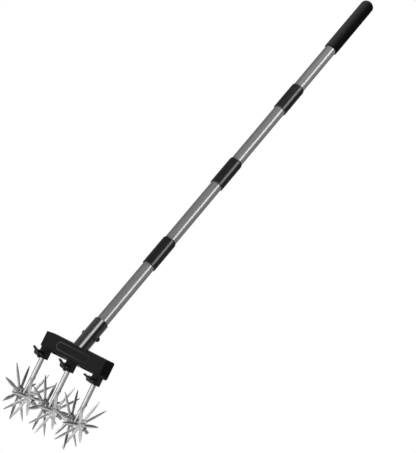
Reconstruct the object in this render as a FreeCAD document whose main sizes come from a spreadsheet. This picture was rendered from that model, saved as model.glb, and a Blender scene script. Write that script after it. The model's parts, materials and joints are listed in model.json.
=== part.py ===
import FreeCAD, Part
import math
import os
import Sketcher
from FreeCAD import Placement, Rotation, Vector

# Hand rotary cultivator: a leaning tube handle, a cross-bar head and three wheel units.
# Row frame: +X along the cross-bar, +Z up along the shanks, the handle leans back towards +Y.
# The origin is on the handle's axis, at the middle of the straight part of the grip.

SIZES = {
    # cross-bar head: heights from its front bottom edge, depths from its middle
    "bar_long": 160, "bar_deep": 35.6, "bar_tall": 32, "bar_rise": 1.5, "bar_drop": 6.8,
    "bar_round": 1.8, "bar_back_round": 5, "bar_wall": 3.5, "bar_roof": 4,
    "void_near": 21, "void_far": 57,
    "badge_long": 86, "badge_tall": 18, "badge_rim": 1.6, "badge_high": 0.6,
    # wheel units, spaced along the bar
    "unit_pitch": 70, "unit_back": 4.4,
    "block_side": 18, "block_drop": 22.5, "block_round": 1.6,
    "tenon_side": 13, "tenon_top": 12,
    # shank: a round rod forged to a flat tongue with an eye
    "shank_dia": 10.4, "shank_top": 22, "shank_gap": 0.05, "shank_room": 0.4,
    "forge_top": 66, "forge_low": 79, "tongue_wide": 13.4, "tongue_thick": 5,
    "axle_drop": 101.2,
    # bent axle: a short straight middle and two arms that slope down, measured from its elbows
    "axle_dia": 7, "axle_gap": 0.05, "elbow": 3.2, "arm_tilt": 19.5,
    "arm_left": 27, "arm_right": 35,
    "spacer_near": 1.6, "spacer_far": 3.2, "spacer_dia": 12,
    "clip_near": 21.5, "clip_far": 22.7, "clip_dia": 9.4,
    # star wheels, measured along the arm from the elbow
    "hub_near": 3.5, "hub_far": 23.8, "hub_dia": 13, "cup_dia": 10.2, "cup_deep": 2.6,
    "web_near": 8.8, "web_far": 12.4, "web_dia": 34, "wheel_middle": 10.6,
    "spike_count": 8, "spike_reach": 62.5, "spike_root": 12, "spike_belly": 33,
    "root_wide": 7.2, "root_thick": 5.2, "belly_wide": 8.2, "belly_thick": 5.6,
    "neck_at": 51, "neck_wide": 5.4, "neck_thick": 3.8, "tip_wide": 1.4, "tip_thick": 1.2,
    # wing screws
    "screw_dia": 8, "screw_gap": 0.05, "screw_tip_gap": 0.35, "screw_high": 14.5,
    "washer_dia": 15, "washer_thick": 1.6, "collar_dia": 11, "collar_long": 8.5,
    "block_clear": 0.4, "ring_gap": 0.35, "knob_dia": 12.5, "knob_long": 12.5,
    "wing_span": 29.5, "wing_thick": 4.6, "wing_root": 8.5, "wing_lobe": 9.2,
    # handle, measured up along its own axis from the top of the bar
    "lean": 25,
    "socket_out": 32.6, "socket_long": 70, "socket_under": 12,
    "tube_out": 27, "tube_wall": 1.6, "tube_low": 9,
    "cross_up": 31, "cross_dia": 6, "cross_head": 10.5, "cross_nut": 10,
    "sleeve_out": 31.4, "sleeve_long": 76, "sleeve_first": 270, "sleeve_pitch": 247,
    "sleeve_lip": 1.3, "lip_deep": 7, "sleeve_nose": 3.2,
    "fit_gap": 0.02,
    "grip_out": 32, "grip_low": 936, "grip_long": 171, "grip_dome": 13, "grip_round": 2,
}

doc = FreeCAD.newDocument("cultivator")
sheet = doc.addObject("Spreadsheet::Sheet", "sizes")
for row, (alias, value) in enumerate(SIZES.items(), start=1):
    sheet.set(f"A{row}", alias)
    sheet.set(f"B{row}", str(value))
    sheet.setAlias(f"B{row}", alias)
doc.recompute()


def size(alias):
    """The sheet's value for one alias."""
    return float(sheet.get(alias))


def bound(text):
    """An expression with every alias in it pointed at the sheet."""
    words = []
    for word in text.split():
        words.append(f"sizes.{word}" if word in SIZES else word)
    return " ".join(words)


LEAN = math.radians(size("lean"))
UP_POLE = Vector(0, math.sin(LEAN), math.cos(LEAN))
POLE_TURN = Rotation(Vector(1, 0, 0), -size("lean"))
FOOT = Vector(0, 0, size("bar_tall") + size("bar_rise") / 2)
GRIP_STRAIGHT = size("grip_long") - size("grip_dome") - size("grip_round")
ORIGIN = FOOT + UP_POLE * (size("grip_low") + size("grip_round") + GRIP_STRAIGHT / 2)

SIDES = (("left", -1), ("right", 1))
UNITS = (("left", -1), ("middle", 0), ("right", 1))
EXPORTS = []


def head_place(x, y, z, turn=Rotation()):
    """Placement from a point of the head's own frame to the row frame."""
    return Placement(Vector(x, y, z) - ORIGIN, turn)


def pole_place(along, turn=Rotation()):
    """Placement of a piece that is built along its own Z, a distance up the handle."""
    return Placement(FOOT + UP_POLE * along - ORIGIN, POLE_TURN * turn)


def keep(obj, label, place):
    """Name a finished sub-part, put it in its place and list it for export."""
    obj.Label = label
    obj.Placement = place
    EXPORTS.append(obj)
    return obj


def new_body(name):
    return doc.addObject("PartDesign::Body", name)


def origin_plane(body, role):
    for feature in body.Origin.OriginFeatures:
        if feature.Role == role:
            return feature
    raise ValueError(role)


def new_sketch(body, name, role, shift=None):
    """An empty sketch flat on one of the body's origin planes, or parallel to it."""
    sketch = body.newObject("Sketcher::SketchObject", name)
    sketch.AttachmentSupport = [(origin_plane(body, role), "")]
    sketch.MapMode = "FlatFace"
    if shift is not None:
        sketch.AttachmentOffset = shift
    return sketch


def pin_point(sketch, line, end, across, along):
    """Hold one end of a line at a sketch position given as two expressions."""
    for kind, axis, text in (("DistanceX", -2, across), ("DistanceY", -1, along)):
        if text == "0":
            sketch.addConstraint(Sketcher.Constraint("PointOnObject", line, end, axis))
            continue
        index = sketch.addConstraint(Sketcher.Constraint(kind, -1, 1, line, end, 1.0))
        sketch.setExpression(f"Constraints[{index}]", bound(text))


def outline(body, name, role, corners, shift=None):
    """A closed polygon sketch, every corner given as a pair of expressions."""
    sketch = new_sketch(body, name, role, shift)
    count = len(corners)
    start = []
    for i in range(count):
        angle = 2 * math.pi * i / count
        start.append(Vector(20 * math.cos(angle), 20 * math.sin(angle), 0))
    for i in range(count):
        sketch.addGeometry(Part.LineSegment(start[i], start[(i + 1) % count]))
    for i in range(count):
        joined = (i + 1) % count
        sketch.addConstraint(Sketcher.Constraint("Coincident", i, 2, joined, 1))
    for i, (across, along) in enumerate(corners):
        pin_point(sketch, i, 1, across, along)
    return sketch


def rounds(body, name, role, diameters, centre=("0", "0"), shift=None):
    """Concentric circles, each diameter an expression."""
    sketch = new_sketch(body, name, role, shift)
    for i, diameter in enumerate(diameters):
        sketch.addGeometry(Part.Circle(Vector(0.1, 0.1, 0), Vector(0, 0, 1), 5.0 + i))
        index = sketch.addConstraint(Sketcher.Constraint("Diameter", i, 5.0 + i))
        sketch.setExpression(f"Constraints[{index}]", bound(diameter))
        pin_point(sketch, i, 3, *centre)
    return sketch


def rectangle(body, name, role, low, high, shift=None):
    """A rectangle between two corners, each given as a pair of expressions."""
    corners = [low, (high[0], low[1]), high, (low[0], high[1])]
    return outline(body, name, role, corners, shift)


def pad(body, name, sketch, length, both_ways=False, backwards=False):
    feature = body.newObject("PartDesign::Pad", name)
    feature.Profile = sketch
    feature.setExpression("Length", bound(length))
    feature.Midplane = both_ways
    feature.Reversed = backwards
    sketch.Visibility = False
    return feature


def pocket(body, name, sketch, length=None, both_ways=False, backwards=False):
    feature = body.newObject("PartDesign::Pocket", name)
    feature.Profile = sketch
    if length is None:
        feature.Type = "ThroughAll"
    else:
        feature.setExpression("Length", bound(length))
    feature.Midplane = both_ways
    feature.Reversed = backwards
    sketch.Visibility = False
    return feature


def spun(body, name, corners, axis="V_Axis", role="XZ_Plane", shift=None):
    """A solid of revolution about one axis of its sketch."""
    sketch = outline(body, name + "_profile", role, corners, shift)
    feature = body.newObject("PartDesign::Revolution", name)
    feature.Profile = sketch
    feature.ReferenceAxis = (sketch, [axis])
    feature.Angle = 360
    return feature


def rounded(body, name, base, edges, radius):
    """A fillet on the named edges of a feature."""
    feature = body.newObject("PartDesign::Fillet", name)
    feature.Base = (base, edges)
    feature.setExpression("Radius", bound(radius))
    return feature


def edges_where(shape, test):
    """Names of the edges whose middle point and direction pass a test."""
    names = []
    for i, edge in enumerate(shape.Edges, start=1):
        middle = edge.CenterOfMass
        ends = [v.Point for v in edge.Vertexes]
        run = ends[-1] - ends[0]
        if test(middle, run):
            names.append(f"Edge{i}")
    return names


# ---------------------------------------------------------------- cross-bar housing
def make_housing():
    body = new_body("head_housing")
    section = outline(body, "bar_section", "YZ_Plane", [
        ("- bar_deep / 2", "0"),
        ("bar_deep / 2", "- bar_drop"),
        ("bar_deep / 2", "bar_tall + bar_rise"),
        ("- bar_deep / 2", "bar_tall"),
    ])
    bar = pad(body, "bar", section, "bar_long", both_ways=True)
    doc.recompute()
    back = rounded(body, "bar_back_edges", bar, edges_where(
        bar.Shape, lambda m, d: m.y > 1 and abs(d.x) > 1), "bar_back_round")
    doc.recompute()
    rounded(body, "bar_edges", back, edges_where(
        back.Shape, lambda m, d: m.y < 1 or abs(d.x) < 1), "bar_round")

    # A raised oval rim, left blank inside, on the front face.
    face = Placement(Vector(0, 0, size("bar_deep") / 2 - 0.4), Rotation())
    rim = new_sketch(body, "badge_outline", "XZ_Plane", face)
    mid = size("bar_tall") / 2
    half = (size("badge_long") - size("badge_tall")) / 2
    for ring, radius in ((0, size("badge_tall") / 2), (1, size("badge_tall") / 2 - size("badge_rim"))):
        first = 4 * ring
        up, down = mid + radius, mid - radius
        right = Part.Circle(Vector(half, mid, 0), Vector(0, 0, 1), radius)
        left = Part.Circle(Vector(-half, mid, 0), Vector(0, 0, 1), radius)
        rim.addGeometry(Part.LineSegment(Vector(-half, up, 0), Vector(half, up, 0)))
        rim.addGeometry(Part.ArcOfCircle(right, -math.pi / 2, math.pi / 2))
        rim.addGeometry(Part.LineSegment(Vector(half, down, 0), Vector(-half, down, 0)))
        rim.addGeometry(Part.ArcOfCircle(left, math.pi / 2, 3 * math.pi / 2))
        rim.addConstraint(Sketcher.Constraint("Tangent", first, 2, first + 1, 2))
        rim.addConstraint(Sketcher.Constraint("Tangent", first + 1, 1, first + 2, 1))
        rim.addConstraint(Sketcher.Constraint("Tangent", first + 2, 2, first + 3, 2))
        rim.addConstraint(Sketcher.Constraint("Tangent", first + 3, 1, first, 1))
        rim.addConstraint(Sketcher.Constraint("Horizontal", first))
        end = rim.addConstraint(Sketcher.Constraint("Radius", first + 1, radius))
        rim.setExpression(f"Constraints[{end}]", bound(f"badge_tall / 2 - {ring} * badge_rim"))
        pin_point(rim, first + 1, 3, "( badge_long - badge_tall ) / 2", "bar_tall / 2")
        pin_point(rim, first + 3, 3, "- ( badge_long - badge_tall ) / 2", "bar_tall / 2")
    pad(body, "badge_rim_pad", rim, "badge_high + 0.4")

    # Square seats for the clamp blocks, then round room for the shanks above them.
    for name, step in UNITS:
        x = f"{step} * unit_pitch"
        seat = rectangle(body, f"seat_{name}", "XY_Plane",
                         (f"{x} - tenon_side / 2", "- unit_back - tenon_side / 2"),
                         (f"{x} + tenon_side / 2", "- unit_back + tenon_side / 2"))
        pocket(body, f"seat_cut_{name}", seat, "tenon_top", backwards=True)
        seat_below = rectangle(body, f"seat_low_{name}", "XY_Plane",
                               (f"{x} - tenon_side / 2", "- unit_back - tenon_side / 2"),
                               (f"{x} + tenon_side / 2", "- unit_back + tenon_side / 2"))
        pocket(body, f"seat_low_cut_{name}", seat_below, "bar_drop + 1")
        room = rounds(body, f"room_{name}", "XY_Plane", ["shank_dia + 2 * shank_room"],
                      (x, "- unit_back"))
        pocket(body, f"room_cut_{name}", room, "shank_top + 1", backwards=True)

    # Two open moulding voids under the bar, one on each side of the handle socket.
    for name, sign in SIDES:
        near, far = f"{sign} * void_near", f"{sign} * void_far"
        low, high = (near, far) if sign > 0 else (far, near)
        for part, depth, backwards in (("up", "bar_tall - bar_roof", True), ("down", "bar_drop + 1", False)):
            void = rectangle(body, f"void_{part}_{name}", "XY_Plane",
                             (low, "- bar_deep / 2 + bar_wall"), (high, "bar_deep / 2 - bar_wall"))
            pocket(body, f"void_cut_{part}_{name}", void, depth, backwards=backwards)
    return keep(body, "head_housing", head_place(0, 0, 0))


# ---------------------------------------------------------------- clamp blocks
def make_block(name, step):
    body = new_body(f"clamp_block_{name}")
    slope = "bar_drop / bar_deep"
    side = outline(body, f"block_side_{name}", "YZ_Plane", [
        ("- block_side / 2", "- block_drop"),
        ("block_side / 2", "- block_drop"),
        ("block_side / 2", f"- ( bar_deep / 2 - unit_back + block_side / 2 ) * {slope}"),
        ("- block_side / 2", f"- ( bar_deep / 2 - unit_back - block_side / 2 ) * {slope}"),
    ])
    base = pad(body, f"block_{name}", side, "block_side", both_ways=True)
    doc.recompute()
    upright = edges_where(base.Shape, lambda m, d: abs(d.z) > 5 and abs(d.x) < 1 and abs(d.y) < 1)
    rounded(body, f"block_edges_{name}", base, upright, "block_round")
    tenon = rectangle(body, f"tenon_{name}", "XY_Plane",
                      ("- tenon_side / 2 + fit_gap", "- tenon_side / 2 + fit_gap"),
                      ("tenon_side / 2 - fit_gap", "tenon_side / 2 - fit_gap"),
                      Placement(Vector(0, 0, -size("bar_drop")), Rotation()))
    pad(body, f"tenon_pad_{name}", tenon, "bar_drop + tenon_top - fit_gap")
    bore = rounds(body, f"bore_{name}", "XY_Plane", ["shank_dia + 2 * shank_gap"])
    pocket(body, f"bore_cut_{name}", bore, "4 * block_drop", both_ways=True)
    thread = rounds(body, f"thread_{name}", "XZ_Plane", ["screw_dia + 2 * screw_gap"],
                    ("0", "- screw_high"))
    pocket(body, f"thread_cut_{name}", thread, "block_side", backwards=True)
    return keep(body, f"clamp_block_{name}", head_place(step * size("unit_pitch"), -size("unit_back"), 0))


# ---------------------------------------------------------------- shanks
def make_shank(name, step):
    body = new_body(f"shank_{name}")
    rod = rounds(body, f"rod_{name}", "XY_Plane", ["shank_dia"],
                 shift=Placement(Vector(0, 0, -size("forge_top")), Rotation()))
    pad(body, f"rod_pad_{name}", rod, "forge_top + shank_top")
    top = rounds(body, f"forge_top_{name}", "XY_Plane", ["shank_dia"],
                 shift=Placement(Vector(0, 0, -size("forge_top")), Rotation()))
    low = rectangle(body, f"forge_low_{name}", "XY_Plane",
                    ("- tongue_thick / 2", "- tongue_wide / 2"),
                    ("tongue_thick / 2", "tongue_wide / 2"),
                    Placement(Vector(0, 0, -size("forge_low")), Rotation()))
    forge = body.newObject("PartDesign::AdditiveLoft", f"forge_{name}")
    forge.Profile = top
    forge.Sections = [(low, [""])]
    forge.Ruled = False
    tongue = rectangle(body, f"tongue_{name}", "YZ_Plane",
                       ("- tongue_wide / 2", "- axle_drop"), ("tongue_wide / 2", "- forge_low"))
    pad(body, f"tongue_pad_{name}", tongue, "tongue_thick", both_ways=True)
    end = rounds(body, f"tongue_end_{name}", "YZ_Plane", ["tongue_wide"], ("0", "- axle_drop"))
    pad(body, f"tongue_end_pad_{name}", end, "tongue_thick", both_ways=True)
    eye = rounds(body, f"eye_{name}", "YZ_Plane", ["axle_dia + 2 * fit_gap"], ("0", "- axle_drop"))
    pocket(body, f"eye_cut_{name}", eye, "4 * tongue_thick", both_ways=True)
    return keep(body, f"shank_{name}", head_place(step * size("unit_pitch"), -size("unit_back"), 0))


# ---------------------------------------------------------------- axle, spacers, clips
def arm_place(step, sign, turn=Rotation()):
    """Placement of a piece on one arm of an axle: its local X is the arm, 0 at the elbow."""
    x = step * size("unit_pitch") + sign * size("elbow")
    slope = Rotation(Vector(0, 1, 0), sign * size("arm_tilt"))
    return head_place(x, -size("unit_back"), -size("axle_drop"), slope * turn)


def make_axle(name, step):
    """One bent rod: the middle is padded, and each arm's inner end is rounded into it."""
    body = new_body(f"axle_{name}")
    middle = rounds(body, f"axle_middle_{name}", "YZ_Plane", ["axle_dia"])
    pad(body, f"axle_middle_pad_{name}", middle, "2 * elbow", both_ways=True)
    slant = math.sqrt(0.5) / 2
    for side, sign in SIDES:
        end = f"{sign} * arm_{side}"
        corners = [
            (f"{-sign} * axle_dia / 2", "0"), (end, "0"), (end, "axle_dia / 2 - 0.6"),
            (f"{end} - {sign} * 0.6", "axle_dia / 2"), ("0", "axle_dia / 2"),
            (f"{-sign} * axle_dia * {slant:.4f}", f"axle_dia * {slant:.4f}"),
        ]
        bend = Placement(Vector(sign * size("elbow"), 0, 0),
                         Rotation(Vector(0, 0, 1), -sign * size("arm_tilt")))
        spun(body, f"arm_{name}_{side}", corners, axis="H_Axis", shift=bend)
    place = head_place(step * size("unit_pitch"), -size("unit_back"), -size("axle_drop"))
    return keep(body, f"axle_{name}", place)


def make_arm_ring(name, step, side, sign, kind, bore):
    """A plain ring on an axle arm: the spacer inside the wheel or the clip outside it."""
    body = new_body(f"axle_{kind}_{name}_{side}")
    near, far = f"{sign} * {kind}_near", f"{sign} * {kind}_far"
    rim = f"{kind}_dia / 2"
    spun(body, f"{kind}_{name}_{side}", [
        (near, bore), (far, bore), (far, f"{rim} - 0.4"), (f"{far} - {sign} * 0.4", rim),
        (near, rim),
    ], axis="H_Axis")
    return keep(body, f"axle_{kind}_{name}_{side}", arm_place(step, sign))


# ---------------------------------------------------------------- star wheels
def spike_section(body, name, radius, wide, thick):
    """A diamond section of a spike, square to the radius."""
    return outline(body, name, "XY_Plane", [
        (f"- {thick} / 2", "0"), ("0", f"- {wide} / 2"), (f"{thick} / 2", "0"), ("0", f"{wide} / 2"),
    ], Placement(Vector(0, 0, size(radius)), Rotation()))


def make_wheel(name, step, side, sign, phase):
    tag = f"{name}_{side}"
    body = new_body(f"star_wheel_{tag}")
    bore = "axle_dia / 2 + axle_gap"

    def across(text):
        return f"{sign} * ( {text} - wheel_middle )"

    spun(body, f"hub_{tag}", [
        (across("hub_near"), bore), (across("hub_far - cup_deep"), bore),
        (across("hub_far - cup_deep"), "cup_dia / 2"), (across("hub_far"), "cup_dia / 2"),
        (across("hub_far"), "hub_dia / 2 - 0.5"), (across("hub_far - 0.5"), "hub_dia / 2"),
        (across("web_far + 1"), "hub_dia / 2"), (across("web_far"), "hub_dia / 2 + 1"),
        (across("web_far - 0.8"), "web_dia / 2"), (across("web_near + 0.8"), "web_dia / 2"),
        (across("web_near"), "hub_dia / 2 + 1"), (across("web_near - 1"), "hub_dia / 2"),
        (across("hub_near + 0.5"), "hub_dia / 2"), (across("hub_near"), "hub_dia / 2 - 0.5"),
    ], axis="H_Axis")
    sections = (("root", "spike_root", "root_wide", "root_thick"),
                ("belly", "spike_belly", "belly_wide", "belly_thick"),
                ("neck", "neck_at", "neck_wide", "neck_thick"),
                ("tip", "spike_reach", "tip_wide", "tip_thick"))
    profiles = []
    for part, radius, wide, thick in sections:
        profiles.append(spike_section(body, f"{part}_{tag}", radius, wide, thick))
    spike = body.newObject("PartDesign::AdditiveLoft", f"spike_{tag}")
    spike.Profile = profiles[0]
    spike.Sections = [(p, [""]) for p in profiles[1:]]
    spike.Ruled = True
    ring = body.newObject("PartDesign::PolarPattern", f"spikes_{tag}")
    ring.Originals = [spike]
    ring.Axis = (new_sketch(body, f"turn_axis_{tag}", "XY_Plane"), ["H_Axis"])
    ring.Angle = 360
    ring.setExpression("Occurrences", bound("spike_count"))
    body.Tip = ring
    place = arm_place(step, sign, Rotation(Vector(1, 0, 0), phase))
    place.Base = place.multVec(Vector(sign * size("wheel_middle"), 0, 0))
    return keep(body, f"star_wheel_{tag}", place)


# ---------------------------------------------------------------- wing screws
def screw_place(step, turn=0):
    """Local +Z points out of the front of the block, along the screw."""
    out = Rotation(Vector(1, 0, 0), 90)
    spin = Rotation(Vector(0, 0, 1), turn)
    return head_place(step * size("unit_pitch"), -size("unit_back"), -size("screw_high"), out * spin)


def make_stud(name, step, turn):
    body = new_body(f"screw_stud_{name}")
    tip = "shank_dia / 2 + screw_tip_gap"
    end = "block_side / 2 + block_clear + washer_thick + collar_long + 2 * ring_gap + 5"
    spun(body, f"stud_{name}", [
        ("0", tip), ("screw_dia / 2 - 1", tip), ("screw_dia / 2", f"{tip} + 1"),
        ("screw_dia / 2", end), ("0", end),
    ])
    return keep(body, f"screw_stud_{name}", screw_place(step, turn))


def make_ring(name, step, kind, start, long, outside):
    body = new_body(f"screw_{kind}_{name}")
    spun(body, f"{kind}_{name}", [
        ("screw_dia / 2 + screw_gap", start), (f"{outside} / 2 - 0.5", start),
        (f"{outside} / 2", f"{start} + 0.5"), (f"{outside} / 2", f"{start} + {long} - 0.5"),
        (f"{outside} / 2 - 0.5", f"{start} + {long}"), ("screw_dia / 2 + screw_gap", f"{start} + {long}"),
    ])
    return keep(body, f"screw_{kind}_{name}", screw_place(step))


def make_knob(name, step, turn):
    """The plastic wing head: a tapered hub with two rounded wings, moulded over the stud."""
    body = new_body(f"wing_knob_{name}")
    start = "block_side / 2 + block_clear + washer_thick + collar_long + 2 * ring_gap"
    fit = "screw_dia / 2 + fit_gap"
    spun(body, f"knob_hub_{name}", [
        ("0", f"{start} + 5 + fit_gap"), (fit, f"{start} + 5 + fit_gap"), (fit, start),
        ("knob_dia / 2 - 0.8", start), ("knob_dia / 2", f"{start} + 0.8"),
        ("knob_dia / 2 - 0.6", f"{start} + knob_long - 2"), ("knob_dia / 2 - 2.4", f"{start} + knob_long"),
        ("0", f"{start} + knob_long"),
    ])
    for side, sign in SIDES:
        wing = outline(body, f"wing_{name}_{side}", "XZ_Plane", [
            (f"{sign} * 4.6", f"{start} + 1.2"),
            (f"{sign} * ( wing_span / 2 - wing_lobe + 1.5 )", f"{start} + 2.2"),
            (f"{sign} * ( wing_span / 2 - 2 )", f"{start} + 4.2"),
            (f"{sign} * wing_span / 2", f"{start} + 7.6"),
            (f"{sign} * ( wing_span / 2 - 1 )", f"{start} + wing_root + 3.2"),
            (f"{sign} * ( wing_span / 2 - 4 )", f"{start} + wing_root + 4.4"),
            (f"{sign} * ( wing_span / 2 - 6.5 )", f"{start} + wing_root + 2.2"),
            (f"{sign} * 4.6", f"{start} + wing_root"),
        ])
        pad(body, f"wing_pad_{name}_{side}", wing, "wing_thick", both_ways=True)
    return keep(body, f"wing_knob_{name}", screw_place(step, turn))


# ---------------------------------------------------------------- handle
def hexagon(body, name, across, along):
    """A hexagon across the YZ plane at a distance along X."""
    sketch = new_sketch(body, name, "YZ_Plane", Placement(Vector(0, 0, along), Rotation()))
    radius = size(across) / math.sqrt(3)
    corners = []
    for i in range(6):
        corners.append(Vector(radius * math.cos(math.pi * i / 3), radius * math.sin(math.pi * i / 3), 0))
    for i in range(6):
        sketch.addGeometry(Part.LineSegment(corners[i], corners[(i + 1) % 6]))
    sketch.addGeometry(Part.Circle(Vector(0, 0, 0), Vector(0, 0, 1), radius), True)
    for i in range(6):
        sketch.addConstraint(Sketcher.Constraint("Coincident", i, 2, (i + 1) % 6, 1))
        sketch.addConstraint(Sketcher.Constraint("PointOnObject", i, 1, 6))
    for i in range(1, 6):
        sketch.addConstraint(Sketcher.Constraint("Equal", 0, i))
    sketch.addConstraint(Sketcher.Constraint("Coincident", 6, 3, -1, 1))
    sketch.addConstraint(Sketcher.Constraint("PointOnObject", 0, 1, -1))
    index = sketch.addConstraint(Sketcher.Constraint("Radius", 6, radius))
    sketch.setExpression(f"Constraints[{index}]", bound(f"{across} / sqrt( 3 )"))
    return sketch


def cross_hole(body, name, along, diameter):
    hole = rounds(body, f"{name}_cross", "YZ_Plane", [diameter], ("0", along))
    return pocket(body, f"{name}_cross_cut", hole, "4 * socket_out", both_ways=True)


def make_socket():
    """A tube stub welded on the bar: its lower end is mitred to lie flat on the bar's top."""
    body = new_body("handle_socket")
    inner = "tube_out / 2 + fit_gap"
    spun(body, "socket", [
        (inner, "- socket_under"), ("socket_out / 2", "- socket_under"),
        ("socket_out / 2", "socket_long - 1.6"), ("socket_out / 2 - 1.6", "socket_long"),
        (inner, "socket_long"),
    ])
    slope = "tan( lean * 1 deg + atan( bar_rise / bar_deep ) )"
    wedge = outline(body, "mitre", "YZ_Plane", [
        ("- socket_out", f"- socket_out * {slope}"), ("- socket_out", "- 2 * socket_out"),
        ("socket_out", "- 2 * socket_out"), ("socket_out", f"socket_out * {slope}"),
    ])
    pocket(body, "mitre_cut", wedge, "4 * socket_out", both_ways=True)
    cross_hole(body, "socket", "cross_up", "cross_dia + 2 * fit_gap")
    return keep(body, "handle_socket", pole_place(0))


def make_tube(number):
    body = new_body(f"tube_{number}")
    low = "tube_low" if number == 1 else f"sleeve_first + {number - 2} * sleeve_pitch + 0.2"
    high = f"sleeve_first + {number - 1} * sleeve_pitch - 0.2"
    if number == 4:
        high = "grip_low + grip_long - grip_dome"
    outer, inner = "tube_out / 2", "tube_out / 2 - tube_wall"
    spun(body, f"tube_wall_{number}", [(inner, low), (outer, low), (outer, high), (inner, high)])
    if number == 1:
        cross_hole(body, "tube", "cross_up", "cross_dia + 2 * fit_gap")
    return keep(body, f"tube_{number}", pole_place(0))


def make_sleeve(number):
    """Coupling sleeve: a recessed skirt round the lower tube and a coned upper end."""
    body = new_body(f"sleeve_{number}")
    middle = f"sleeve_first + {number - 1} * sleeve_pitch"
    low, high = f"{middle} - sleeve_long / 2", f"{middle} + sleeve_long / 2"
    outer, inner = "sleeve_out / 2", "tube_out / 2 + fit_gap"
    spun(body, f"sleeve_wall_{number}", [
        (f"{outer} - sleeve_lip + 0.4", low), (f"{outer} - 0.3", low), (outer, f"{low} + 0.5"),
        (outer, f"{high} - sleeve_nose"), (f"{inner} + 0.7", high), (inner, high),
        (inner, f"{low} + lip_deep"), (f"{outer} - sleeve_lip + 0.4", f"{low} + lip_deep"),
    ])
    return keep(body, f"sleeve_{number}", pole_place(0))


def make_grip():
    body = new_body("grip")
    top = "grip_low + grip_long"
    inner, outer = "tube_out / 2 + fit_gap", "grip_out / 2"
    corners = [(inner, "grip_low"), (f"{outer} - grip_round", "grip_low"),
               (outer, "grip_low + grip_round"), (outer, f"{top} - grip_dome")]
    for step in range(1, 6):
        angle = math.pi / 2 * step / 6
        corners.append((f"{outer} * {math.cos(angle):.4f}",
                        f"{top} - grip_dome + grip_dome * {math.sin(angle):.4f}"))
    corners += [("0", top), ("0", f"{top} - grip_dome + fit_gap"), (inner, f"{top} - grip_dome + fit_gap")]
    spun(body, "grip_foam", corners)
    return keep(body, "grip", pole_place(0))


def make_cross_bolt():
    """The bolt through socket and tube, along X, with a round head and a nut."""
    body = new_body("socket_bolt")
    half = "socket_out / 2"
    spun(body, "socket_bolt_shaft", [
        (f"- {half} - 4.2", "0"), (f"{half} + 7", "0"), (f"{half} + 7", "cross_dia / 2"),
        (f"- {half} + 1", "cross_dia / 2"), (f"- {half} - 0.1", "cross_dia / 2"),
        (f"- {half} - 0.1", "cross_head / 2"), (f"- {half} - 2.4", "cross_head / 2"),
        (f"- {half} - 3.8", "cross_head / 2 - 1.8"), (f"- {half} - 4.2", "cross_head / 2 - 3.4"),
    ], axis="H_Axis")
    keep(body, "socket_bolt", pole_place(size("cross_up")))
    nut = new_body("socket_nut")
    flats = hexagon(nut, "socket_nut_flats", "cross_nut", size("socket_out") / 2 + 0.1)
    pad(nut, "socket_nut_pad", flats, "5")
    hole = rounds(nut, "socket_nut_hole", "YZ_Plane", ["cross_dia + 2 * fit_gap"])
    pocket(nut, "socket_nut_cut", hole, "4 * socket_out", both_ways=True)
    return keep(nut, "socket_nut", pole_place(size("cross_up")))


# Turn of each wheel about its axle and of each wing screw about its stud, in degrees.
# The spikes of a pair pass between each other below the shank.
WHEEL_PHASE = {("left", -1): 27, ("left", 1): 1, ("middle", -1): 16,
               ("middle", 1): 1.5, ("right", -1): 37.5, ("right", 1): 6.5}
WING_TURN = {"left": 144, "middle": 144, "right": 163}

make_housing()
for unit, place in UNITS:
    make_block(unit, place)
    make_shank(unit, place)
    make_axle(unit, place)
    for wheel_side, wheel_sign in SIDES:
        make_arm_ring(unit, place, wheel_side, wheel_sign, "spacer", "axle_dia / 2 + fit_gap")
        make_arm_ring(unit, place, wheel_side, wheel_sign, "clip", "axle_dia / 2 + fit_gap")
        make_wheel(unit, place, wheel_side, wheel_sign, WHEEL_PHASE[(unit, wheel_sign)])
    make_stud(unit, place, WING_TURN[unit])
    washer_start = "block_side / 2 + block_clear"
    make_ring(unit, place, "washer", washer_start, "washer_thick", "washer_dia")
    make_ring(unit, place, "collar", f"{washer_start} + washer_thick", "collar_long", "collar_dia")
    make_knob(unit, place, WING_TURN[unit])
make_socket()
make_cross_bolt()
for tube_number in range(1, 5):
    make_tube(tube_number)
for sleeve_number in range(1, 4):
    make_sleeve(sleeve_number)
make_grip()
doc.recompute()

for obj in doc.Objects:
    if "Invalid" in obj.State or "Error" in obj.State:
        raise RuntimeError(f"{obj.Label} did not build: {obj.State}")
os.makedirs("parts", exist_ok=True)
for obj in EXPORTS:
    shape = obj.Shape
    if shape.isNull() or not shape.isValid() or len(shape.Solids) != 1:
        raise RuntimeError(f"{obj.Label} has no single valid solid")
    shape.exportStep(f"parts/{obj.Label}.step")
    print(obj.Label, round(shape.Volume), [round(v, 1) for v in (shape.BoundBox.XLength,
          shape.BoundBox.YLength, shape.BoundBox.ZLength)])
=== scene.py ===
import json
import math
import random

import bpy
from mathutils import Matrix, Vector


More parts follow.
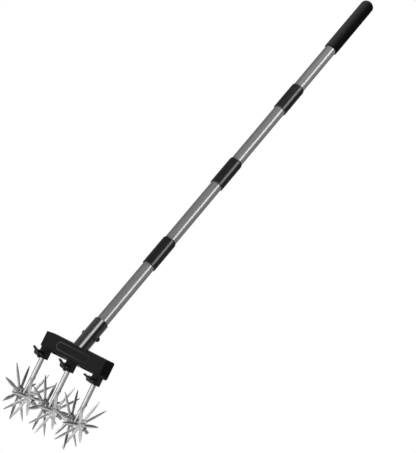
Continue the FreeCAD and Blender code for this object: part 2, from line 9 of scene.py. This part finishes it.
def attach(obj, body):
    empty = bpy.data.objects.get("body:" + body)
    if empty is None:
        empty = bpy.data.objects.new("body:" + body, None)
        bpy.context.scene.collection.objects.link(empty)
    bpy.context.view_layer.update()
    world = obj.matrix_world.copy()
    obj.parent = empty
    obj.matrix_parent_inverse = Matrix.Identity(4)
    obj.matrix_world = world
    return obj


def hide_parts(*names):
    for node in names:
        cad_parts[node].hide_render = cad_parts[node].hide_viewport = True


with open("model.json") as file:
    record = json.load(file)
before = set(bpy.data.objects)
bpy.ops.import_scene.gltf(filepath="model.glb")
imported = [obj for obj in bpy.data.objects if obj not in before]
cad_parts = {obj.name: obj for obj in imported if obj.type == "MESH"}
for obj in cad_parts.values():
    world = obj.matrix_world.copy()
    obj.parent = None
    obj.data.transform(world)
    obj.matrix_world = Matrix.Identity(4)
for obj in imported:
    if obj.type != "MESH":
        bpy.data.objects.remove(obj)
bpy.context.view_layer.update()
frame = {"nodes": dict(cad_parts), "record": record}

# ------------------------------------------------------------------ the head's own frame
# Millimetres from the middle of the bar's front bottom edge line: X along the bar, Z up.
LEAN = math.radians(25)
UP_POLE = Vector((0, math.sin(LEAN), math.cos(LEAN)))
FOOT = Vector((0, 0, 32.75))
ORIGIN = FOOT + UP_POLE * 1016
UNITS = (("left", -1), ("middle", 0), ("right", 1))
SIDES = (("left", -1), ("right", 1))
UNIT_PITCH = 70
UNIT_BACK = 4.4
SCREW_HIGH = 14.5


def row(point):
    """A point of the head frame, in mm, as a row-frame point in metres."""
    return (Vector(point) - ORIGIN) / 1000


# ------------------------------------------------------------------ materials
class Graph:
    """A material's node tree with short helpers for wiring it."""

    def __init__(self, name):
        self.material = bpy.data.materials.new(name)
        self.material.use_nodes = True
        self.nodes = self.material.node_tree.nodes
        self.links = self.material.node_tree.links
        self.shader = self.nodes["Principled BSDF"]
        self.place = self.nodes.new("ShaderNodeTexCoord").outputs["Object"]

    def join(self, out, socket):
        self.links.new(out, socket)

    def set(self, **values):
        for key, value in values.items():
            self.shader.inputs[key.replace("_", " ")].default_value = value

    def mapped(self, scale=(1, 1, 1), turn=(0, 0, 0)):
        node = self.nodes.new("ShaderNodeMapping")
        node.vector_type = "TEXTURE"
        node.inputs["Rotation"].default_value = turn
        node.inputs["Scale"].default_value = [1 / s for s in scale]
        self.join(self.place, node.inputs["Vector"])
        return node.outputs["Vector"]

    def noise(self, scale, detail=4.0, rough=0.55, at=None):
        node = self.nodes.new("ShaderNodeTexNoise")
        node.inputs["Scale"].default_value = scale
        node.inputs["Detail"].default_value = detail
        node.inputs["Roughness"].default_value = rough
        self.join(self.place if at is None else at, node.inputs["Vector"])
        return node.outputs["Fac"]

    def cells(self, scale):
        node = self.nodes.new("ShaderNodeTexVoronoi")
        node.inputs["Scale"].default_value = scale
        self.join(self.place, node.inputs["Vector"])
        return node.outputs["Distance"]

    def ramp(self, value, *stops):
        node = self.nodes.new("ShaderNodeValToRGB")
        parts = node.color_ramp.elements
        while len(parts) < len(stops):
            parts.new(0.5)
        for part, (where, colour) in zip(parts, stops):
            part.position = where
            part.color = (*colour, 1) if isinstance(colour, tuple) else (colour, colour, colour, 1)
        self.join(value, node.inputs["Fac"])
        return node.outputs["Color"]

    def span(self, value, low, high, to_low, to_high):
        node = self.nodes.new("ShaderNodeMapRange")
        for key, number in (("From Min", low), ("From Max", high), ("To Min", to_low), ("To Max", to_high)):
            node.inputs[key].default_value = number
        self.join(value, node.inputs["Value"])
        return node.outputs["Result"]

    def blend(self, factor, first, second):
        node = self.nodes.new("ShaderNodeMix")
        node.data_type = "RGBA"
        for key, value in (("Factor", factor), ("A", first), ("B", second)):
            socket = node.inputs[key]
            if isinstance(value, bpy.types.NodeSocket):
                self.join(value, socket)
            elif isinstance(value, tuple):
                socket.default_value = (*value, 1)
            else:
                socket.default_value = value
        return node.outputs["Result"]

    def product(self, first, second):
        node = self.nodes.new("ShaderNodeMath")
        node.operation = "MULTIPLY"
        self.join(first, node.inputs[0])
        self.join(second, node.inputs[1])
        return node.outputs["Value"]

    def painted_edge_highlight(self, radius):
        """Near 1 on outer edges and 0 on flat parts."""
        bevel = self.nodes.new("ShaderNodeBevel")
        bevel.samples = 4
        bevel.inputs["Radius"].default_value = radius
        geometry = self.nodes.new("ShaderNodeNewGeometry")
        dot = self.nodes.new("ShaderNodeVectorMath")
        dot.operation = "DOT_PRODUCT"
        self.join(bevel.outputs["Normal"], dot.inputs[0])
        self.join(geometry.outputs["Normal"], dot.inputs[1])
        return self.span(dot.outputs["Value"], 0.995, 0.8, 0.0, 1.0)

    def crevice_shade(self, reach):
        """Near 0 deep in corners and 1 in the open."""
        node = self.nodes.new("ShaderNodeAmbientOcclusion")
        node.samples = 8
        node.inputs["Distance"].default_value = reach
        return node.outputs["AO"]

    def bump(self, height, strength, distance, normal=None):
        node = self.nodes.new("ShaderNodeBump")
        node.inputs["Strength"].default_value = strength
        node.inputs["Distance"].default_value = distance
        self.join(height, node.inputs["Height"])
        if normal is not None:
            self.join(normal, node.inputs["Normal"])
        return node.outputs["Normal"]

    def finish(self, base=None, rough=None, normal=None):
        for socket, out in (("Base Color", base), ("Roughness", rough), ("Normal", normal)):
            if out is not None:
                self.join(out, self.shader.inputs[socket])
        return self.material


def housing_material():
    """Fine-grained matt black moulding with painted highlights: lighter on its outer edges, and on its raised
    rim most at the left end; its end faces reflect less so they read as shaded.
    """
    g = Graph("moulded_black")
    grain = g.cells(1100)
    clouds = g.noise(38, 5)
    base = g.ramp(clouds, (0.3, (0.0025, 0.0025, 0.003)), (0.7, (0.005, 0.005, 0.0055)))
    # Painted highlight: the outer edges are blended towards a pale grey.
    base = g.blend(g.span(g.painted_edge_highlight(0.0012), 0.0, 1.0, 0.0, 0.75), base, (0.06, 0.06, 0.062))
    forward = g.nodes.new("ShaderNodeSeparateXYZ")
    g.join(g.place, forward.inputs["Vector"])
    # Painted highlight: the raised rim is lightened, most at the left end and fading to the right, as if lit
    # from the left.
    raised = g.span(forward.outputs["Y"], row((0, -17.95, 0)).y, row((0, -18.25, 0)).y, 0.0, 0.9)
    rim_highlight_fade = g.span(forward.outputs["X"], -0.044, 0.03, 0.07, 0.016)
    rim_highlight_colour = g.nodes.new("ShaderNodeCombineColor")
    for channel in ("Red", "Green", "Blue"):
        g.join(rim_highlight_fade, rim_highlight_colour.inputs[channel])
    base = g.blend(raised, base, rim_highlight_colour.outputs["Color"])
    rough = g.span(g.noise(260, 3), 0.3, 0.7, 0.46, 0.56)
    normal = g.bump(grain, 0.2, 0.0002)
    # Painted shade: the bar's end faces get a lower specular level, so they read darker than the front.
    sides = g.nodes.new("ShaderNodeSeparateXYZ")
    g.join(g.nodes["Texture Coordinate"].outputs["Normal"], sides.inputs["Vector"])
    both_ends = g.product(sides.outputs["X"], sides.outputs["X"])
    facing_end = g.span(both_ends, 0.49, 0.96, 0.0, 1.0)
    on_bar = g.span(forward.outputs["Z"], row((0, 0, -0.5)).z, row((0, 0, 0.5)).z, 0.0, 1.0)
    end_face_shade = g.span(g.product(facing_end, on_bar), 0.0, 1.0, 0.2, 0.04)
    g.join(end_face_shade, g.shader.inputs["Specular IOR Level"])
    return g.finish(base, rough, g.bump(clouds, 0.08, 0.0006, normal))


def gloss_material(name, tone, rough_low, rough_high, coat=0.0, level=0.5):
    """Black enamel or nylon: faint clouding in tone and polish."""
    g = Graph(name)
    base = g.ramp(g.noise(55, 4), (0.3, (tone * 0.85,) * 3), (0.7, (tone * 1.15,) * 3))
    rough = g.span(g.noise(90, 5, 0.6), 0.3, 0.75, rough_low, rough_high)
    g.set(**{"Coat_Weight": coat, "Coat_Roughness": 0.2, "Coat_IOR": 2.0, "Specular_IOR_Level": level})
    return g.finish(base, rough, g.bump(g.noise(220, 3), 0.05, 0.0003))


def tube_material():
    """Silver-grey satin finish drawn out along the pole."""
    g = Graph("satin_tube")
    along = g.mapped((1, 1, 0.02), (-LEAN, 0, 0))
    streaks = g.noise(500, 4, 0.6, along)
    clouds = g.noise(12, 4)
    base = g.blend(g.span(streaks, 0.35, 0.7, 0.0, 1.0), (0.174, 0.168, 0.17), (0.21, 0.203, 0.205))
    base = g.blend(g.span(clouds, 0.4, 0.7, 0.0, 0.35), base, (0.184, 0.178, 0.18))
    rough = g.span(streaks, 0.3, 0.7, 0.2, 0.25)
    g.set(Metallic=0.36)
    return g.finish(base, rough, g.bump(streaks, 0.02, 0.0002))


def foam_material():
    """Closed-cell foam: small pits and a speckled skin."""
    g = Graph("foam_grip")
    cells = g.cells(900)
    fine = g.noise(1300, 5, 0.7)
    base = g.blend(g.span(fine, 0.42, 0.66, 0.0, 1.0), (0.0028, 0.0028, 0.003), (0.0095, 0.0095, 0.0098))
    height = g.blend(0.5, cells, fine)
    g.set(**{"Specular_IOR_Level": 0.08})
    return g.finish(base, g.span(fine, 0.3, 0.7, 0.8, 0.94), g.bump(height, 0.45, 0.0005))


def plated_material():
    """Bright plating, faintly warm, with a little wear."""
    g = Graph("bright_zinc")
    clouds = g.noise(60, 5, 0.6)
    base = g.ramp(clouds, (0.3, (0.56, 0.535, 0.515)), (0.7, (0.72, 0.695, 0.68)))
    rough = g.span(g.noise(70, 4), 0.3, 0.75, 0.16, 0.24)
    g.set(Metallic=1.0)
    return g.finish(base, rough, g.bump(g.noise(160, 3), 0.06, 0.0003))


def steel_material(name, low, high, rough_low, rough_high):
    g = Graph(name)
    clouds = g.noise(140, 5, 0.6)
    base = g.ramp(clouds, (0.3, low), (0.7, high))
    rough = g.span(g.noise(200, 4), 0.3, 0.75, rough_low, rough_high)
    g.set(Metallic=1.0)
    return g.finish(base, rough, g.bump(g.noise(300, 3), 0.1, 0.0002))


def cast_material():
    """Cast aluminium: wavy skin, with painted shade darkening its crevices and a painted highlight along the
    ridges.
    """
    g = Graph("cast_alloy")
    clouds = g.noise(75, 6, 0.62)
    skin = g.noise(500, 4, 0.65)
    base = g.ramp(clouds, (0.3, (0.6, 0.595, 0.6)), (0.72, (0.86, 0.86, 0.865)))
    base = g.blend(g.span(skin, 0.55, 0.8, 0.0, 0.35), base, (0.4, 0.395, 0.395))
    # Painted highlight: edges and ridges are blended towards near white.
    base = g.blend(g.span(g.painted_edge_highlight(0.0006), 0.1, 1.0, 0.0, 0.8), base, (0.95, 0.95, 0.95))
    # Painted shade: deep corners between the spikes and web are darkened through an occlusion mask.
    base = g.blend(g.span(g.crevice_shade(0.007), 0.15, 0.75, 0.65, 0.0), base, (0.2, 0.196, 0.196))
    rough = g.span(skin, 0.3, 0.7, 0.19, 0.31)
    g.set(Metallic=0.95)
    normal = g.bump(skin, 0.1, 0.0003)
    return g.finish(base, rough, g.bump(clouds, 0.3, 0.0016, normal))


MATERIALS = {
    "housing_black": housing_material(),
    "socket_black": gloss_material("gloss_enamel", 0.003, 0.2, 0.28, 1.0),
    "sleeve_black": gloss_material("sleeve_black", 0.005, 0.24, 0.32, 0.0, 0.4),
    "knob_black": gloss_material("knob_black", 0.008, 0.24, 0.36),
    "bolt_black": gloss_material("bolt_black", 0.006, 0.28, 0.4),
    "tube_grey": tube_material(),
    "grip_foam": foam_material(),
    "shank_steel": plated_material(),
    "zinc_steel": steel_material("zinc_steel", (0.22, 0.22, 0.22), (0.4, 0.4, 0.395), 0.25, 0.4),
    "collar_brass": steel_material("collar_brass", (0.03, 0.024, 0.017), (0.1, 0.075, 0.04), 0.3, 0.45),
    "cast_alloy": cast_material(),
}
for part in frame["record"]["subparts"]:
    node = frame["nodes"][part["node"]]
    node.data.materials.clear()
    node.data.materials.append(MATERIALS[part["material_slot"]])


# ------------------------------------------------------------------ mesh helpers
def smooth_by_angle(obj, degrees):
    mesh = obj.data
    mesh.polygons.foreach_set("use_smooth", [True] * len(mesh.polygons))
    limit = math.radians(degrees)
    sharp = mesh.attributes.get("sharp_edge") or mesh.attributes.new("sharp_edge", "BOOLEAN", "EDGE")
    faces = {}
    for polygon in mesh.polygons:
        for key in polygon.edge_keys:
            faces.setdefault(key, []).append(polygon.normal.copy())
    for edge in mesh.edges:
        normals = faces.get(edge.key, [])
        hard = len(normals) == 2 and normals[0].angle(normals[1], 0) > limit
        sharp.data[edge.index].value = hard


def new_piece(name, points, faces, slot, body, nodes, angle):
    """A mesh from head-frame points in mm, standing for CAD nodes and riding on a body."""
    mesh = bpy.data.meshes.new(name)
    mesh.from_pydata([row(p) for p in points], [], faces)
    mesh.validate()
    obj = bpy.data.objects.new(name, mesh)
    bpy.context.scene.collection.objects.link(obj)
    mesh.materials.append(MATERIALS[slot])
    smooth_by_angle(obj, angle)
    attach(obj, body)
    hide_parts(*nodes)
    return obj


class Shell:
    """Points and faces gathered from several closed forms."""

    def __init__(self):
        self.points = []
        self.faces = []

    def loops(self, rings, capped=True):
        """Skin between rings of equal size."""
        base = len(self.points)
        count = len(rings[0])
        for ring in rings:
            self.points.extend(Vector(p) for p in ring)
        for i in range(len(rings) - 1):
            for j in range(count):
                a = base + i * count + j
                b = base + i * count + (j + 1) % count
                self.faces.append((a, b, b + count, a + count))
        if capped:
            self.faces.append(tuple(base + j for j in reversed(range(count))))
            top = base + (len(rings) - 1) * count
            self.faces.append(tuple(top + j for j in range(count)))

    def lathe(self, profile, count):
        """Turn a closed outline of (along X, radius) pairs about the X axis."""
        rings = []
        for x, radius in profile:
            ring = []
            for j in range(count):
                angle = 2 * math.pi * j / count
                ring.append((x, radius * math.cos(angle), radius * math.sin(angle)))
            rings.append(ring)
        rings.append(rings[0])
        self.loops(rings, capped=False)

    def moved(self, shift, turn):
        """Turn the points about the origin, then shift them."""
        self.points = [turn @ point + Vector(shift) for point in self.points]


# ------------------------------------------------------------------ star wheels
AXLE_DROP = 101.2
ELBOW = 3.2
ARM_TILT = math.radians(19.5)
WHEEL_MIDDLE = 10.6
SPIKE_COUNT = 8
WHEEL_PHASE = {("left", -1): 27, ("left", 1): 1, ("middle", -1): 16,
               ("middle", 1): 1.5, ("right", -1): 37.5, ("right", 1): 6.5}
# Distance along the arm from the wheel's middle plane, and radius, in mm.
HUB_FORM = ((-7.1, 3.6), (-7.1, 5.9), (-6.7, 6.4), (-5.6, 6.45), (-5.2, 5.9), (-4.7, 5.9), (-4.3, 6.9),
            (-3.6, 8.4), (-2.8, 9.3), (-2.0, 9.6), (2.0, 9.6), (2.8, 9.3), (3.6, 8.4), (4.4, 7.0), (5.0, 6.4),
            (8.6, 6.3), (9.0, 5.9), (9.8, 5.9), (10.2, 6.45), (12.6, 6.45), (13.2, 6.0), (13.2, 5.3),
            (12.9, 5.1), (10.6, 5.1), (10.6, 3.6))
# Distance from the axle, half width and half thickness of a spike, in mm.
SPIKE_FORM = ((6, 3.8, 3.1), (10, 3.6, 3.0), (14, 3.5, 2.85), (19, 3.6, 2.75), (25, 3.95, 2.8),
              (31, 4.15, 2.85), (37, 4.1, 2.8), (43, 3.75, 2.55), (49, 3.05, 2.15), (54, 2.35, 1.75),
              (58, 1.65, 1.35), (60.6, 1.1, 0.95), (61.9, 0.65, 0.6), (62.5, 0.2, 0.2))
SPIKE_SECTION = ((1, 0.14), (0.78, 0.46), (0.46, 0.78), (0.13, 1), (-0.13, 1), (-0.46, 0.78), (-0.78, 0.46),
                 (-1, 0.14), (-1, -0.14), (-0.78, -0.46), (-0.46, -0.78), (-0.13, -1), (0.13, -1),
                 (0.46, -0.78), (0.78, -0.46), (1, -0.14))


# Share of the way from the hub to the web's edge, and half thickness there, in mm.
WEB_FORM = ((0, 3.6), (0.4, 2.9), (0.7, 2.1), (0.92, 1.4), (1, 0.5))
WEB_START = 6.0
WEB_EDGE = 16.9
WEB_NOTCH = 2.2
WEB_POINTS = 8


def make_star(unit, step, side, sign):
    rand = random.Random(11 * (step + 2) + 3 * (sign + 2))
    shell = Shell()
    shell.lathe([(sign * x, r) for x, r in HUB_FORM], 56)
    # web: thick at the hub, thin and cut back between the spikes
    count = SPIKE_COUNT * WEB_POINTS
    rings = []
    for share, half in WEB_FORM:
        front, back = [], []
        for j in range(count):
            angle = 2 * math.pi * j / count
            edge = WEB_EDGE - WEB_NOTCH * abs(math.sin(math.pi * j / WEB_POINTS)) ** 0.8
            r = WEB_START + (edge - WEB_START) * share
            spot = (-r * math.sin(angle), r * math.cos(angle))
            front.append((half, *spot))
            back.append((-half, *spot))
        rings.append(front)
        rings.insert(0, back)
    rings.append(rings[0])
    shell.loops(rings, capped=False)
    for k in range(SPIKE_COUNT):
        angle = 2 * math.pi * k / SPIKE_COUNT
        drift = rand.uniform(-0.3, 0.3)
        swing = rand.uniform(-0.006, 0.006)
        rings = []
        for radius, wide, thick in SPIKE_FORM:
            section = []
            for w, t in SPIKE_SECTION:
                turn = angle + swing * radius / 60
                y = -radius * math.sin(turn) + w * wide * math.cos(turn)
                z = radius * math.cos(turn) + w * wide * math.sin(turn)
                section.append((drift * (radius / 62) ** 2 + t * thick, y, z))
            rings.append(section)
        shell.loops(rings)
    slope = Matrix.Rotation(sign * ARM_TILT, 3, "Y")
    phase = Matrix.Rotation(math.radians(WHEEL_PHASE[(unit, sign)]), 3, "X")
    spot = slope @ Vector((sign * WHEEL_MIDDLE, 0, 0))
    spot += Vector((step * UNIT_PITCH + sign * ELBOW, -UNIT_BACK, -AXLE_DROP))
    shell.moved(spot, slope @ phase)
    return new_piece(f"star_{unit}_{side}", shell.points, shell.faces, "cast_alloy",
                     f"wheel_{unit}_{side}", [f"star_wheel_{unit}_{side}"], 24)


# ------------------------------------------------------------------ shanks
ROD_RADIUS = 5.2
TONGUE_HALF = 2.5
EYE_RADIUS = 6.7
PRESS_START, PRESS_LONG = -69, 17
def make_rod(unit, step):
    """A round rod whose end is pressed flat: flats open in a V on its two sides."""
    shell = Shell()
    count = 64
    heights = [21.99, 21.6, 20, -20, -55, -60, -62, -64, -65.5, -67, -68.5, -70]
    heights += [-70 - 0.9 * i for i in range(1, 21)]
    heights += [-90, -93, -96, -99]
    heights += [-AXLE_DROP - EYE_RADIUS * math.sin(math.pi / 2 * i / 9) for i in range(10)]
    rings = []
    for z in heights:
        press = min(max((PRESS_START - z) / PRESS_LONG, 0), 1)
        flat = ROD_RADIUS + (TONGUE_HALF - ROD_RADIUS) * press
        spread = 1 + 0.288 * press ** 0.8
        reach = ROD_RADIUS - 0.6 if z > 21.7 else ROD_RADIUS
        below = max(-AXLE_DROP - z, 0)
        end = math.sqrt(max(EYE_RADIUS ** 2 - below ** 2, 0.02)) / EYE_RADIUS
        ring = []
        for j in range(count):
            angle = 2 * math.pi * j / count
            x = max(-flat, min(flat, reach * math.cos(angle)))
            y = reach * math.sin(angle) * spread
            lump = 1.1 * math.exp(-((z + 66.5) / 2.2) ** 2) * max(math.cos(angle - 0.75), 0) ** 3
            x += lump * math.cos(angle)
            y += lump * math.sin(angle)
            if below > 0:
                y *= end
            ring.append((x, y, z))
        rings.append(ring)
    shell.loops(rings)
    shell.moved((step * UNIT_PITCH, -UNIT_BACK, 0), Matrix.Identity(3))
    return new_piece(f"rod_{unit}", shell.points, shell.faces, "shank_steel",
                     f"shank_{unit}_assembly", [f"shank_{unit}"], 30)


# ------------------------------------------------------------------ wing screws
WING_TURN = {"left": 144, "middle": 144, "right": 163}
KNOB_START = 20.2
# Distance along the screw from the knob's back, and radius, in mm.
KNOB_FORM = ((5.02, 0.0), (5.02, 4.02), (0, 4.02), (0, 5.3), (0.5, 5.9), (1.6, 6.1), (6.5, 6.2), (9.2, 5.8),
             (11.0, 4.8), (12.0, 3.4), (12.4, 1.8), (12.5, 0.0))
# Distance out along a wing, middle and half height along the screw, and half thickness.
WING_FORM = ((3.0, 5.6, 4.6, 2.5), (6.0, 5.9, 4.7, 2.4), (8.6, 6.8, 4.9, 2.3), (10.8, 7.6, 4.9, 2.25),
             (12.6, 8.2, 4.3, 2.1), (13.9, 8.5, 3.2, 1.8), (14.5, 8.6, 1.8, 1.1), (14.74, 8.6, 0.5, 0.4))


def make_knob(unit, step):
    shell = Shell()
    rings = []
    for along, radius in KNOB_FORM:
        ring = []
        for j in range(48):
            angle = 2 * math.pi * j / 48
            ring.append((max(radius, 0.01) * math.cos(angle), max(radius, 0.01) * math.sin(angle), along))
        rings.append(ring)
    shell.loops(rings)
    for sign in (-1, 1):
        rings = []
        for out, middle, high, thick in WING_FORM:
            ring = []
            for j in range(24):
                angle = 2 * math.pi * j / 24
                c, n = math.cos(angle), math.sin(angle)
                along = middle + high * math.copysign(abs(n) ** 0.8, n)
                ring.append((sign * out, thick * math.copysign(abs(c) ** 0.7, c), max(along, 0.4)))
            rings.append(ring)
        shell.loops(rings)
    spin = Matrix.Rotation(math.radians(WING_TURN[unit]), 3, "Z")
    out = Matrix.Rotation(math.radians(90), 3, "X")
    shell.moved((0, 0, KNOB_START), Matrix.Identity(3))
    shell.moved((step * UNIT_PITCH, -UNIT_BACK, -SCREW_HIGH), out @ spin)
    return new_piece(f"knob_{unit}", shell.points, shell.faces, "knob_black",
                     f"wing_screw_{unit}", [f"wing_knob_{unit}"], 32)


for unit, step in UNITS:
    make_rod(unit, step)
    make_knob(unit, step)
    for side, sign in SIDES:
        make_star(unit, step, side, sign)


# ------------------------------------------------------------------ stage, light, camera
def stage_material():
    """Pale floor, as bright as the backdrop to a direct look and clear from below."""
    g = Graph("pale_stage")
    base = g.ramp(g.noise(3, 3), (0.3, (0.62, 0.62, 0.62)), (0.7, (0.66, 0.66, 0.66)))
    rays = g.nodes.new("ShaderNodeLightPath")
    glow = g.nodes.new("ShaderNodeEmission")
    mix = g.nodes.new("ShaderNodeMixShader")
    g.join(rays.outputs["Is Camera Ray"], mix.inputs["Fac"])
    g.join(g.shader.outputs["BSDF"], mix.inputs[1])
    g.join(glow.outputs["Emission"], mix.inputs[2])
    clear = g.nodes.new("ShaderNodeBsdfTransparent")
    side = g.nodes.new("ShaderNodeNewGeometry")
    one_way = g.nodes.new("ShaderNodeMixShader")
    g.join(side.outputs["Backfacing"], one_way.inputs["Fac"])
    g.join(mix.outputs["Shader"], one_way.inputs[1])
    g.join(clear.outputs["BSDF"], one_way.inputs[2])
    g.join(one_way.outputs["Shader"], g.nodes["Material Output"].inputs["Surface"])
    return g.finish(base, g.span(g.noise(8, 3), 0.3, 0.7, 0.85, 0.95))


def make_stage():
    floor_z = row((0, 0, -170)).z
    size = 14
    points = [(-size, -size, floor_z), (size, -size, floor_z), (size, size, floor_z), (-size, size, floor_z)]
    mesh = bpy.data.meshes.new("floor")
    mesh.from_pydata(points, [], [(0, 1, 2, 3)])
    floor = bpy.data.objects.new("floor", mesh)
    bpy.context.scene.collection.objects.link(floor)
    mesh.materials.append(stage_material())
    floor.visible_glossy = False
    floor.visible_diffuse = False
    return floor


AZIMUTH = math.radians(30.718)
TILT = math.radians(-4.623)
ROLL = math.radians(25.792)
DISTANCE = 3000
# Lens and sensor in mm; the aim is in mm across and up from the origin.
LENS, SENSOR = 128.49153, 36
AIM_X, AIM_Y = 125.446, 363.767


def make_camera():
    level = math.cos(TILT)
    forward = Vector((-math.sin(AZIMUTH) * level, math.cos(AZIMUTH) * level, -math.sin(TILT)))
    right = Vector((math.cos(AZIMUTH), math.sin(AZIMUTH), 0))
    up = right.cross(forward)
    place = right * AIM_X + up * AIM_Y - forward * DISTANCE
    across = right * math.cos(ROLL) + up * math.sin(ROLL)
    upward = up * math.cos(ROLL) - right * math.sin(ROLL)
    data = bpy.data.cameras.new("camera")
    data.sensor_fit = "HORIZONTAL"
    data.sensor_width = SENSOR
    data.lens = LENS
    data.clip_end = 100
    camera = bpy.data.objects.new("camera", data)
    frame_turn = Matrix((across, upward, -forward)).transposed()
    camera.matrix_world = Matrix.Translation(row(place)) @ frame_turn.to_4x4()
    bpy.context.scene.collection.objects.link(camera)
    bpy.context.scene.camera = camera
    return camera, across, upward, forward


camera, cam_right, cam_up, cam_forward = make_camera()
make_stage()
middle = row((0, 200, 480))
toward = -cam_forward
along = cam_right * 0.6446 + cam_up * 0.7645
across = cam_right * 0.7645 - cam_up * 0.6446


# Directions square to the pole, toward the camera and to its right, for lights that the
# pole's round surface throws at the camera.
VIEW_ALONG = toward.dot(UP_POLE)
SQUARE_ON = (toward - UP_POLE * VIEW_ALONG).normalized()
SQUARE_OFF = UP_POLE.cross(SQUARE_ON)


def mirrored(turn):
    """Where a camera ray goes off the pole when the surface sends it round by this turn."""
    turn = math.radians(turn)
    level = SQUARE_ON * math.cos(turn) + SQUARE_OFF * math.sin(turn)
    return level * math.sqrt(1 - VIEW_ALONG ** 2) - UP_POLE * VIEW_ALONG


def soft_box(name, offset, energy, wide, long):
    """A panel facing the handle's middle with its long side along the handle."""
    data = bpy.data.lights.new(name, "AREA")
    data.shape = "RECTANGLE"
    data.size, data.size_y = wide, long
    data.energy = energy
    light = bpy.data.objects.new(name, data)
    back = offset.normalized()
    upright = (UP_POLE - back * UP_POLE.dot(back)).normalized()
    turn = Matrix((upright.cross(back), upright, back)).transposed()
    light.matrix_world = Matrix.Translation(middle + offset) @ turn.to_4x4()
    bpy.context.scene.collection.objects.link(light)
    return light


key = soft_box("key", toward * 1.7 - across * 2.0 + along * 0.3, 26, 1.3, 3.2)
key.visible_glossy = False


def lit_only(light, name, targets):
    """Keep a light to some of the objects."""
    group = bpy.data.collections.new(name)
    for target in targets:
        group.objects.link(target)
    light.light_linking.receiver_collection = group


pole_strip = soft_box("pole_strip", mirrored(31) * 2.9, 108, 1.25, 3.8)
pole_parts = [node for name, node in frame["nodes"].items() if name.startswith(("tube_", "sleeve_"))]
lit_only(pole_strip, "pole_parts", pole_parts)
socket_strip = soft_box("socket_strip", mirrored(-6) * 2.9, 70, 1.7, 3.8)
lit_only(socket_strip, "socket_parts", [frame["nodes"]["handle_socket"]])
grip_side = soft_box("grip_side", mirrored(-80) * 2.6, 260, 0.8, 3.2)
lit_only(grip_side, "grip_parts", [frame["nodes"]["grip"]])

# Brightness of the surroundings against the turn about the handle, from -1 behind, through
# -0.5 at the key side and 0 at the camera, to 1 behind again: near the horizon, higher up,
# and below the horizon. Straight above, one brightness does for every turn.
LOW_BAND = ((-1.0, 0.32), (-0.68, 0.2), (-0.5, 0.38), (-0.33, 1.6), (-0.14, 1.75), (-0.07, 0.7),
            (0.0, 0.34), (0.42, 0.3), (0.56, 0.18), (0.8, 0.18), (1.0, 0.36))
HIGH_BAND = ((-1.0, 0.3), (-0.6, 0.3), (-0.3, 0.22), (-0.1, 0.14), (0.05, 0.04), (0.6, 0.04),
             (0.84, 0.06), (1.0, 0.25))
FLOOR_BAND = ((-1.0, 0.85), (-0.72, 0.42), (-0.5, 1.4), (-0.25, 0.6), (0.05, 1.65), (0.3, 0.48),
              (0.52, 0.55), (0.68, 1.0), (0.84, 0.52), (1.0, 0.85))
ABOVE = 1.9
PEAK = 2.0


def make_world():
    """White to a direct look; to everything else the bands of brightness above."""
    world = bpy.data.worlds.new("studio")
    world.use_nodes = True
    bpy.context.scene.world = world
    nodes, links = world.node_tree.nodes, world.node_tree.links
    ways = nodes.new("ShaderNodeTexCoord")

    def part_of(axis):
        dot = nodes.new("ShaderNodeVectorMath")
        dot.operation = "DOT_PRODUCT"
        dot.inputs[1].default_value = axis
        links.new(ways.outputs["Generated"], dot.inputs[0])
        return dot.outputs["Value"]

    def clamp_range(value, low, high, to_low=0.0, to_high=1.0):
        node = nodes.new("ShaderNodeMapRange")
        for key, number in (("From Min", low), ("From Max", high), ("To Min", to_low), ("To Max", to_high)):
            node.inputs[key].default_value = number
        links.new(value, node.inputs["Value"])
        return node.outputs["Result"]

    def mixed(factor, first, second):
        node = nodes.new("ShaderNodeMix")
        node.data_type = "FLOAT"
        links.new(factor, node.inputs[0])
        for socket, value in ((node.inputs[2], first), (node.inputs[3], second)):
            if isinstance(value, float):
                socket.default_value = value
            else:
                links.new(value, socket)
        return node.outputs[0]

    turn = nodes.new("ShaderNodeMath")
    turn.operation = "ARCTAN2"
    links.new(part_of(across), turn.inputs[0])
    links.new(part_of(toward), turn.inputs[1])
    place = clamp_range(turn.outputs[0], -math.pi, math.pi)

    def band(stops):
        ramp = nodes.new("ShaderNodeValToRGB")
        parts = ramp.color_ramp.elements
        while len(parts) < len(stops):
            parts.new(0.5)
        for part, (where, level) in zip(parts, stops):
            part.position = (where + 1) / 2
            part.color = (level / PEAK, level / PEAK, level / PEAK, 1)
        links.new(place, ramp.inputs["Fac"])
        lift = nodes.new("ShaderNodeMath")
        lift.operation = "MULTIPLY"
        lift.inputs[1].default_value = PEAK
        links.new(ramp.outputs["Color"], lift.inputs[0])
        return lift.outputs[0]

    height = part_of((0, 0, 1))
    level = mixed(clamp_range(height, 0.2, 0.34), band(LOW_BAND), band(HIGH_BAND))
    level = mixed(clamp_range(height, -0.04, -0.16), level, band(FLOOR_BAND))
    level = mixed(clamp_range(height, 0.84, 0.92), level, ABOVE)
    rays = nodes.new("ShaderNodeLightPath")
    level = mixed(rays.outputs["Is Camera Ray"], level, 1.0)
    links.new(level, nodes["Background"].inputs["Strength"])
    nodes["Background"].inputs["Color"].default_value = (1, 1, 1, 1)


make_world()
scene = bpy.context.scene
scene.view_settings.view_transform = "Standard"
scene.view_settings.look = "None"
scene.view_settings.exposure = 0.0
